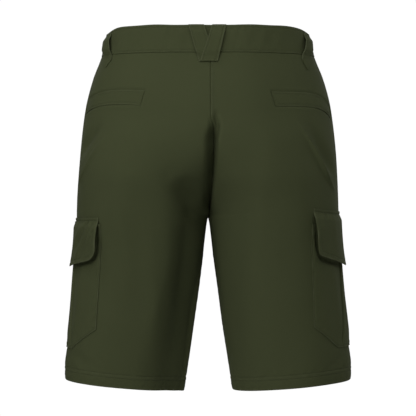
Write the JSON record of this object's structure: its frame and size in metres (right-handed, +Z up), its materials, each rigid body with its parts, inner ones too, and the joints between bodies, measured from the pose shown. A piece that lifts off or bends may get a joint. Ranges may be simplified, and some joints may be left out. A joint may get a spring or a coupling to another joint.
{
  "type": "cargo shorts",
  "caption": "Knee-length cargo shorts filled out as if worn, with a seamed waistband, belt loops, welted back pockets and flapped cargo pockets on the legs.",
  "frame": {"origin": "centre of the waist opening, about half-way up the waistband, where the wearer's waist holds the garment", "axes": "+Z up towards the waist opening, the front of the garment faces -Y and its back +Y, the wearer's left is +X"},
  "size_m": [0.4278, 0.253, 0.5362],
  "materials": {
    "shell_cloth": "matte",
    "inside_cloth": "matte",
    "button_plastic": "satin"
  },
  "bodies": {
    "root": {"back_panel_left": "shell_cloth", "back_panel_right": "shell_cloth", "front_panel_left": "shell_cloth", "front_panel_right": "shell_cloth", "hem_turn_up_left": "inside_cloth", "hem_turn_up_right": "inside_cloth", "waistband_back": "shell_cloth", "waistband_front_left": "shell_cloth", "waistband_front_right": "shell_cloth", "fly_shield": "inside_cloth", "back_welt_left": "shell_cloth", "back_welt_right": "shell_cloth", "cargo_pocket_left": "shell_cloth", "cargo_pocket_right": "shell_cloth", "cargo_flap_left": "shell_cloth", "cargo_flap_right": "shell_cloth", "side_loop_left": "shell_cloth", "side_loop_right": "shell_cloth", "front_loop_left": "shell_cloth", "front_loop_right": "shell_cloth", "back_loop_under_strip": "shell_cloth", "back_loop_over_strip": "shell_cloth", "waist_button": "button_plastic"}
  },
  "joints": []
}
